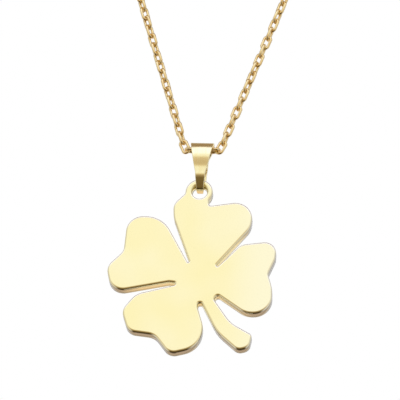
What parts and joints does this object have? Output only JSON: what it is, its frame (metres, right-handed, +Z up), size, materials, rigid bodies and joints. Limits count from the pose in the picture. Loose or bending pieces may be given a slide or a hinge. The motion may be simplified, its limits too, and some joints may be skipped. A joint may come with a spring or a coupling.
{
  "type": "four leaf clover pendant necklace",
  "caption": "Necklace with a flat polished clover with a curved stem, held by a tall tapered bail on a fine cable chain that a plain barrel clasp closes.",
  "frame": {"origin": "mount neck: the point where the necklace hangs, under the middle of the clasp at the back of the neck", "axes": "+X towards the wearer's left, -Y the front that is seen when worn, +Z up, from the clover to the clasp"},
  "size_m": [0.0972, 0.0056, 0.2262],
  "materials": {
    "polished_gold": "polished, gold plated",
    "brushed_gold": "polished with fine brush lines, gold plated"
  },
  "bodies": {
    "chain": {"chain": "polished_gold", "clasp": "polished_gold"},
    "bail": {"bail": "brushed_gold"},
    "clover": {"clover": "polished_gold"}
  },
  "joints": [
    {"name": "bail_swing", "type": "hinge", "parent": "chain", "child": "bail", "pos_m": [0, 0, -0.18357], "axis": [1, 0, 0], "range_deg": [-90, 90]},
    {"name": "clover_sway", "type": "hinge", "parent": "bail", "child": "clover", "pos_m": [0, 0, -0.19182], "axis": [0, 1, 0], "range_deg": [-70, 70]}
  ]
}
